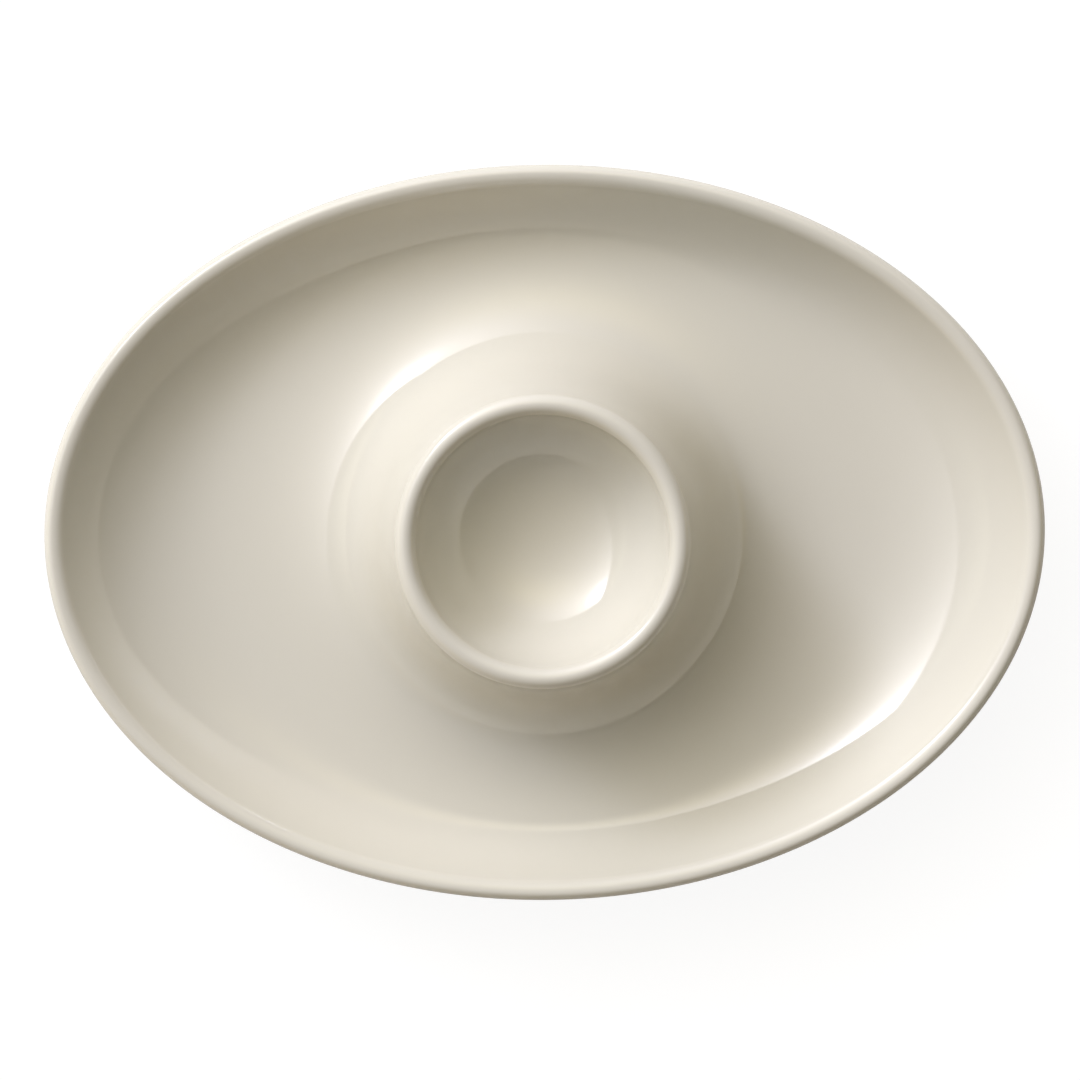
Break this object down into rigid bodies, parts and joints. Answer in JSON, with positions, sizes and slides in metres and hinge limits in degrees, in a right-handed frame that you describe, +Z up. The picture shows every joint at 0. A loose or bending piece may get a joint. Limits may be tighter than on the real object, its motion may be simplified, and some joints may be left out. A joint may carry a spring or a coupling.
{
  "type": "egg cup",
  "caption": "Glazed porcelain egg cup with a round-bottomed bowl and a flared skirt, fixed in the middle of an oval saucer with a rounded lip and a foot ring.",
  "frame": {"origin": "on the table, under the middle of the saucer, where the axes of the cup and of the saucer's oval meet the foot ring's plane", "axes": "+X along the saucer's long axis, +Y along its short axis, +Z up along the cup's axis"},
  "size_m": [0.1606, 0.1184, 0.0336],
  "materials": {
    "cup_glaze": "clear gloss glaze over ivory-white porcelain",
    "saucer_glaze": "clear gloss glaze over ivory-white porcelain, bare on the foot ring's tread"
  },
  "bodies": {
    "root": {"egg_cup": "cup_glaze", "oval_saucer": "saucer_glaze"}
  },
  "joints": []
}
